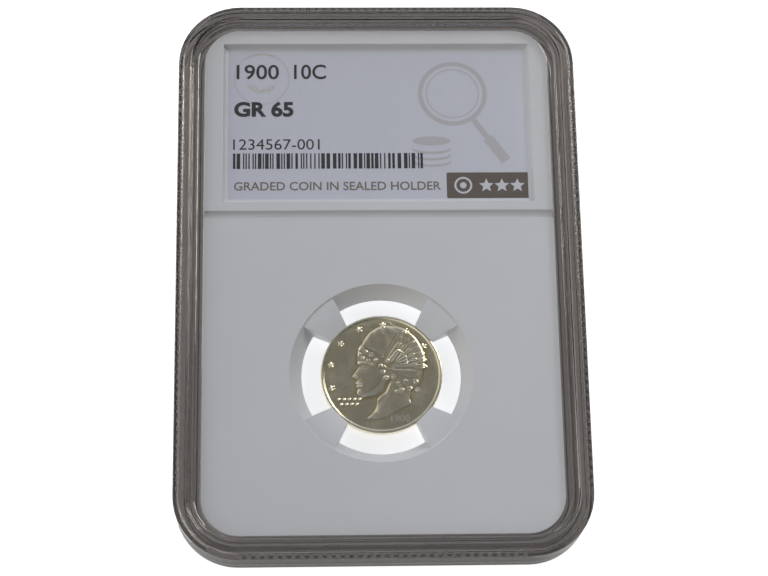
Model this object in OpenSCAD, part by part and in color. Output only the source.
// Graded coin slab: a sealed two-shell holder that shows a coin in a four-prong core under a paper label.
// Millimetres. X runs across the holder, +Y towards the label end and +Z out of the coin's front face.
// The origin is under the middle of the holder, on the flat of the rear stacking ridge.

/* [Holder] */
// Width of the closed holder
holder_w = 60.3; // [48:0.1:80]
// Height of the closed holder, label end to coin end
holder_h = 85.7; // [70:0.1:110]
// Thickness over both stacking ridges
holder_t = 8; // [7:0.1:10]
// Outer corner radius
corner_r = 9.3; // [7:0.1:12]
// Wall between the side of the holder and its cavity
side_wall = 3.85; // [3.6:0.05:5]
// Wall between the end of the holder and its cavity
end_wall = 3.45; // [3.4:0.05:5.5]

/* [Shells] */
// Thickness of the clear windows
window_t = 1.3; // [1:0.05:1.6]
// Height of the stacking ridges above the windows
ridge_h = 0.9; // [0.7:0.05:1.1]
// Width of the front stacking ridge
front_ridge_w = 1.4; // [1.1:0.05:1.5]
// Width of the rear stacking ridge
rear_ridge_w = 1; // [0.8:0.05:1.1]
// Width of the step around the outside of each shell
step_w = 0.7; // [0.5:0.05:0.8]
// Height of the holder's full thickness above each of those steps
step_drop = 0.7; // [0.5:0.05:1.2]
// Gap between the front ridge of one holder and the rear ridge of the next one in a stack
nest_gap = 0.12; // [0.05:0.01:0.2]

/* [Weld joint] */
// Distance from the outside of the holder to the tongue
tongue_in = 1.5; // [1.3:0.05:1.7]
// Width of the tongue under the front shell
tongue_w = 0.8; // [0.6:0.05:1]
// Length of the tongue
tongue_l = 0.75; // [0.5:0.05:0.9]
// Side gap between the tongue and its groove
tongue_gap = 0.1; // [0.05:0.01:0.15]
// Thickness of the melted bead under the tongue
bead_t = 0.2; // [0.1:0.01:0.25]
// Pitch of the moulded seal marks around the edge
mark_pitch = 1.27; // [1.1:0.01:2]
// Length of one seal mark
mark_l = 0.75; // [0.5:0.05:0.9]
// Width of one seal mark
mark_w = 0.3; // [0.2:0.05:0.4]
// Depth of one seal mark
mark_d = 0.25; // [0.1:0.05:0.35]
// Width of the moulding gate's flat on each end of the front shell
gate_w = 2.4; // [1.5:0.1:4]
// Height of that flat
gate_h = 1; // [0.6:0.1:1.4]
// Depth of that flat
gate_d = 0.15; // [0.05:0.05:0.3]

/* [Inserts] */
// Gap between the inserts and the shells' cavity
insert_gap = 0.1; // [0.05:0.01:0.2]
// Gap between the label frame and the coin core
joint_gap = 0.12; // [0.05:0.01:0.2]
// Height of the label frame's section, from the top of the cavity to the joint
label_zone = 30.7; // [24:0.1:34]
// Flat land beside the label opening
land_side = 2.8; // [1.5:0.05:4]
// Flat land above the label opening
land_top = 2.2; // [1.5:0.1:4]
// Flat land below the label opening
land_bottom = 1.45; // [1:0.05:3]
// Width of the slope around the label opening
slope_w = 0.8; // [0.4:0.05:1.6]
// Depth of the labels below the front of the frame
label_depth = 1; // [0.8:0.05:1.3]
// Width of the slope along the frame's lower edge
edge_slope_w = 1.1; // [0.6:0.05:1.6]
// Depth of that slope
edge_slope_d = 0.7; // [0.5:0.05:0.75]

/* [Labels] */
// Thickness of one paper label
label_t = 0.3; // [0.2:0.05:0.35]
// Width of label that is hidden behind the frame on each side and at the top
label_lap = 1; // [0.6:0.1:1.3]
// Gap around the labels in their slot
label_gap = 0.05; // [0.03:0.01:0.1]
// Corner radius of the labels
label_r = 0.8; // [0.3:0.1:1.5]
// Diameter of the round foil seal on the front label
seal_d = 9; // [6:0.1:12]
// Distance of the seal from the side edge of the visible label
seal_side = 0.5; // [0.1:0.1:3]
// Distance of the seal from the top edge of the visible label
seal_top = 0.1; // [0.1:0.1:3]
// Thickness of both foils
foil_t = 0.04; // [0.03:0.01:0.08]
// Border of paper left around the hologram foil
holo_border = 3; // [2:0.5:5]

/* [Coin] */
// Diameter of the coin
coin_d = 17.91; // [14.5:0.01:22]
// Thickness of the coin at its rim
coin_t = 1.35; // [1:0.05:1.6]
// Width of the coin's raised rim
coin_rim_w = 0.55; // [0.3:0.05:0.9]
// Depth of the fields below the rim
coin_field = 0.2; // [0.1:0.01:0.3]
// Number of reeds on the edge
reeds = 118; // [90:2:140]
// Depth of the reeds
reed_d = 0.1; // [0.05:0.01:0.15]

/* [Core] */
// Distance of the coin's centre above the middle of the core
coin_up = 0.1; // [-2:0.1:2]
// Gap between the coin's edge and the prongs
coin_fit = 0.03; // [0.02:0.01:0.06]
// Width of the lip that covers the coin's rim at each prong
prong_lip = 0.2; // [0.1:0.01:0.3]
// Thickness of that lip
prong_lip_t = 0.13; // [0.1:0.01:0.2]
// Clear space between the coin and the waist of the opening
see_gap = 2.75; // [1.5:0.05:3.5]
// Width of the opening's front slope
bowl_w = 1.8; // [1:0.05:2.5]
// Width of the opening's slope at the back
rear_bowl_w = 0.9; // [0.4:0.05:1.6]
// Height of that back slope, from the back of the core up to the waist
rear_bowl_h = 0.9; // [0.4:0.05:1.4]
// Half width of a prong at the coin
prong_tip = 1.7; // [1.2:0.05:2.4]
// Half width of a prong at the waist
prong_root = 2.6; // [1.8:0.05:3.5]
// Step from the face of the core down to the prongs
prong_step = 0.25; // [0.1:0.05:0.4]
// Length of the prongs' slope towards the coin
prong_slope = 2.4; // [1.5:0.1:3]

/* [Hidden] */
$fn = 96;
eps = 0.01;
through = 1;

parting_z = holder_t / 2;
front_step_z = holder_t - step_drop;
rear_step_z = step_drop;
front_window_z = holder_t - ridge_h;
rear_window_z = ridge_h;
cavity_top = front_window_z - window_t;
cavity_base = rear_window_z + window_t;
insert_t = cavity_top - cavity_base;

cavity_w = holder_w - 2 * side_wall;
cavity_h = holder_h - 2 * end_wall;
cavity_r = corner_r - (side_wall + end_wall) / 2;

front_ridge_in = step_w;
rear_ridge_in = front_ridge_in + front_ridge_w + nest_gap;
groove_in = tongue_in - tongue_gap;
groove_w = tongue_w + 2 * tongue_gap;
bead_z = parting_z - tongue_l - bead_t;

insert_w = cavity_w - 2 * insert_gap;
insert_h = cavity_h - 2 * insert_gap;
insert_r = cavity_r - insert_gap;
joint_y = cavity_h / 2 - label_zone;
frame_y = joint_y + joint_gap / 2;
core_y = joint_y - joint_gap / 2;

label_front_z = cavity_top - label_depth;
label_joint_z = label_front_z - label_t;
label_rear_z = label_joint_z - label_t;
opening_w = insert_w - 2 * land_side;
opening_top = insert_h / 2 - land_top;
opening_base = frame_y + edge_slope_w + land_bottom;
opening_h = opening_top - opening_base;
opening_y = (opening_top + opening_base) / 2;
label_w = opening_w - 2 * slope_w + 2 * label_lap;
label_top = opening_top - slope_w + label_lap;
label_base = frame_y + label_gap;
label_h = label_top - label_base;
label_y = (label_top + label_base) / 2;
seal_x = -opening_w / 2 + slope_w + seal_side + seal_d / 2;
seal_y = opening_top - slope_w - seal_top - seal_d / 2;

coin_r = coin_d / 2;
coin_y = (core_y - insert_h / 2) / 2 + coin_up;
coin_z = parting_z;
waist_r = coin_r + see_gap;
bowl_r = waist_r + bowl_w;
seat_r = coin_r + coin_fit;

// A rectangle with true round corners, centred on the origin.
module rounded_rect(w, h, r) {
    square([w - 2 * r, h], center = true);
    square([w, h - 2 * r], center = true);
    for (x = [-1, 1], y = [-1, 1])
        translate([x * (w / 2 - r), y * (h / 2 - r)]) circle(r);
}

// The holder's outline, moved inwards by inset, from z0 up to z1.
module outline_plate(inset, z0, z1) {
    translate([0, 0, z0])
        linear_extrude(z1 - z0)
            rounded_rect(holder_w - 2 * inset, holder_h - 2 * inset, corner_r - inset);
}

// A band that follows the outline, width wide and inset from the outside.
module outline_ring(inset, width, z0, z1) {
    translate([0, 0, z0])
        linear_extrude(z1 - z0)
            difference() {
                rounded_rect(holder_w - 2 * inset, holder_h - 2 * inset, corner_r - inset);
                rounded_rect(holder_w - 2 * (inset + width), holder_h - 2 * (inset + width),
                             corner_r - inset - width);
            }
}

// One row of seal marks along a straight edge of the given length, centred on the origin.
module mark_row(length) {
    count = floor(length / mark_pitch);
    for (i = [0 : count - 1])
        translate([(i - (count - 1) / 2) * mark_pitch, 0]) square([mark_l, mark_w], center = true);
}

// The seal marks around one corner, on an arc of the given radius about the origin.
module mark_arc(radius) {
    count = floor(radius * 90 * PI / 180 / mark_pitch);
    for (i = [0 : count - 1])
        rotate((i + 0.5) * 90 / count - 90) translate([0, radius]) square([mark_l, mark_w], center = true);
}

// All the seal marks, as flat shapes around the holder.
module marks() {
    inset = step_w / 2;
    half_w = holder_w / 2;
    half_h = holder_h / 2;
    for (side = [-1, 1]) {
        translate([0, side * (half_h - inset)]) mark_row(holder_w - 2 * corner_r);
        translate([side * (half_w - inset), 0]) rotate(90) mark_row(holder_h - 2 * corner_r);
    }
    for (turn = [0, 1, 2, 3]) {
        x = (turn == 0 || turn == 3) ? 1 : -1;
        y = (turn < 2) ? 1 : -1;
        translate([x * (half_w - corner_r), y * (half_h - corner_r)])
            rotate(turn * 90) mark_arc(corner_r - inset);
    }
}

// The shallow flat that the moulding gate leaves in the middle of each end.
module gate_flats() {
    for (side = [-1, 1])
        translate([0, side * holder_h / 2, parting_z + gate_h])
            cube([gate_w, 2 * gate_d, gate_h], center = true);
}

module front_shell() {
    color([0.86, 0.88, 0.9, 0.35])
    difference() {
        union() {
            outline_ring(0, step_w + front_ridge_w / 2, parting_z, front_step_z);
            outline_plate(step_w, parting_z, front_window_z);
            outline_ring(front_ridge_in, front_ridge_w, front_window_z - eps, holder_t);
            outline_ring(tongue_in, tongue_w, parting_z - tongue_l, parting_z + eps);
        }
        translate([0, 0, parting_z - through])
            linear_extrude(cavity_top - parting_z + through)
                rounded_rect(cavity_w, cavity_h, cavity_r);
        translate([0, 0, front_step_z - mark_d])
            linear_extrude(mark_d + through) marks();
        gate_flats();
    }
}

module rear_shell() {
    color([0.84, 0.86, 0.88, 0.35])
    difference() {
        union() {
            outline_ring(0, step_w, rear_step_z, parting_z);
            outline_plate(step_w - eps, rear_window_z, parting_z);
            outline_ring(rear_ridge_in, rear_ridge_w, 0, rear_window_z + eps);
        }
        translate([0, 0, cavity_base])
            linear_extrude(parting_z - cavity_base + through)
                rounded_rect(cavity_w, cavity_h, cavity_r);
        outline_ring(groove_in, groove_w, bead_z, parting_z + through);
    }
}

module weld_bead() {
    color([0.78, 0.8, 0.82, 0.6])
        outline_ring(tongue_in, tongue_w, bead_z, bead_z + bead_t);
}

// The cavity's shape less the insert gap, kept between two heights along Y.
module insert_plate(y0, y1) {
    translate([0, 0, cavity_base])
        linear_extrude(insert_t)
            intersection() {
                rounded_rect(insert_w, insert_h, insert_r);
                translate([-insert_w / 2 - through, y0]) square([insert_w + 2 * through, y1 - y0]);
            }
}

// A rectangular pit whose four walls slope: w by h at the mouth at z0, smaller by run on each side at z1.
module sloped_pit(w, h, run, z0, z1) {
    intersection() {
        rotate([90, 0, 0]) translate([0, 0, -h]) linear_extrude(2 * h)
            polygon([[-w / 2, z0], [w / 2, z0], [w / 2 - run, z1], [run - w / 2, z1]]);
        rotate([90, 0, 90]) translate([0, 0, -w]) linear_extrude(2 * w)
            polygon([[-h / 2, z0], [h / 2, z0], [h / 2 - run, z1], [run - h / 2, z1]]);
    }
}

module label_frame() {
    color([0.9, 0.9, 0.9])
    difference() {
        insert_plate(frame_y, insert_h / 2 + through);
        translate([0, opening_y, 0]) {
            sloped_pit(opening_w, opening_h, slope_w, cavity_top, label_front_z);
            sloped_pit(opening_w, opening_h, slope_w, cavity_base, label_rear_z);
        }
        translate([-label_w / 2 - label_gap, frame_y - through, label_rear_z])
            cube([label_w + 2 * label_gap, label_top + label_gap - frame_y + through, 2 * label_t]);
        for (face = [0, 1])
            translate([-insert_w, 0, 0]) mirror([0, 0, face]) translate([0, 0, face ? -2 * parting_z : 0])
                rotate([90, 0, 90]) linear_extrude(2 * insert_w)
                    polygon([[frame_y - through, cavity_top + through],
                             [frame_y - through, cavity_top - edge_slope_d],
                             [frame_y, cavity_top - edge_slope_d],
                             [frame_y + edge_slope_w, cavity_top],
                             [frame_y + edge_slope_w, cavity_top + through]]);
    }
}

// Half of a prong's outline across the slab, as height against distance from the coin's centre.
// side is 1 for the front half and -1 for the back half.
function prong_side(side) =
    let (face = insert_t / 2 - prong_step,
         lip = coin_t / 2,
         flat_r = seat_r + prong_slope)
    [[bowl_r + through, side * face], [flat_r, side * face],
     [coin_r - prong_lip, side * (lip + prong_lip_t)],
     [coin_r - prong_lip, side * lip], [seat_r, side * lip]];

function reversed(list) = [for (i = [len(list) - 1 : -1 : 0]) list[i]];

// The four prongs that hold the coin by its edge, centred on the coin.
module prongs() {
    spread = (prong_root - prong_tip) / see_gap;
    reach = bowl_r + through;
    half_at = function (r) prong_tip + (r - coin_r) * spread;
    intersection() {
        rotate_extrude() polygon(concat(prong_side(1), reversed(prong_side(-1))));
        translate([0, 0, -insert_t])
            linear_extrude(2 * insert_t)
                for (turn = [45 : 90 : 315])
                    rotate(turn)
                        polygon([[coin_r / 2, -half_at(coin_r / 2)], [reach, -half_at(reach)],
                                 [reach, half_at(reach)], [coin_r / 2, half_at(coin_r / 2)]]);
    }
}

// The round opening of the core: a slope from the front face down to the waist, and a short one behind it.
module bowl() {
    rotate_extrude()
        polygon([[0, cavity_top + through], [bowl_r, cavity_top + through], [bowl_r, cavity_top],
                 [waist_r, cavity_base + rear_bowl_h], [waist_r + rear_bowl_w, cavity_base],
                 [waist_r + rear_bowl_w, cavity_base - through], [0, cavity_base - through]]);
}

module coin_core() {
    color([0.88, 0.89, 0.9])
    difference() {
        insert_plate(-insert_h / 2 - through, core_y);
        translate([0, coin_y, 0])
            difference() {
                bowl();
                translate([0, 0, coin_z]) prongs();
            }
    }
}

// One paper label with its front at z.
module label_card(z) {
    translate([0, label_y, z - label_t])
        linear_extrude(label_t) rounded_rect(label_w, label_h, label_r);
}

module front_label() {
    color([0.86, 0.87, 0.92]) label_card(label_front_z);
}

module rear_label() {
    color([0.86, 0.87, 0.9]) label_card(label_joint_z);
}

module foil_seal() {
    color([0.85, 0.8, 0.6])
        translate([seal_x, seal_y, label_front_z]) cylinder(d = seal_d, h = foil_t);
}

module hologram_foil() {
    w = opening_w - 2 * (slope_w + holo_border);
    h = opening_h - 2 * (slope_w + holo_border);
    color([0.75, 0.78, 0.8])
        translate([0, opening_y, label_rear_z - foil_t])
            linear_extrude(foil_t) rounded_rect(w, h, label_r);
}

// The coin's outline with its reeded edge.
module reeded_disc() {
    step = 360 / reeds;
    polygon([for (i = [0 : reeds - 1], part = [0, 0.3, 0.5, 0.8])
        let (r = coin_r - (part < 0.4 ? 0 : reed_d)) [r * cos((i + part) * step), r * sin((i + part) * step)]]);
}

module coin() {
    field_r = coin_r - coin_rim_w;
    color([0.72, 0.7, 0.62])
    translate([0, coin_y, coin_z])
    difference() {
        translate([0, 0, -coin_t / 2]) linear_extrude(coin_t) reeded_disc();
        for (face = [-1, 1])
            translate([0, 0, face * coin_t / 2]) cylinder(r = field_r, h = 2 * coin_field, center = true);
    }
}

front_shell();
rear_shell();
weld_bead();
label_frame();
coin_core();
front_label();
rear_label();
foil_seal();
hologram_foil();
coin();
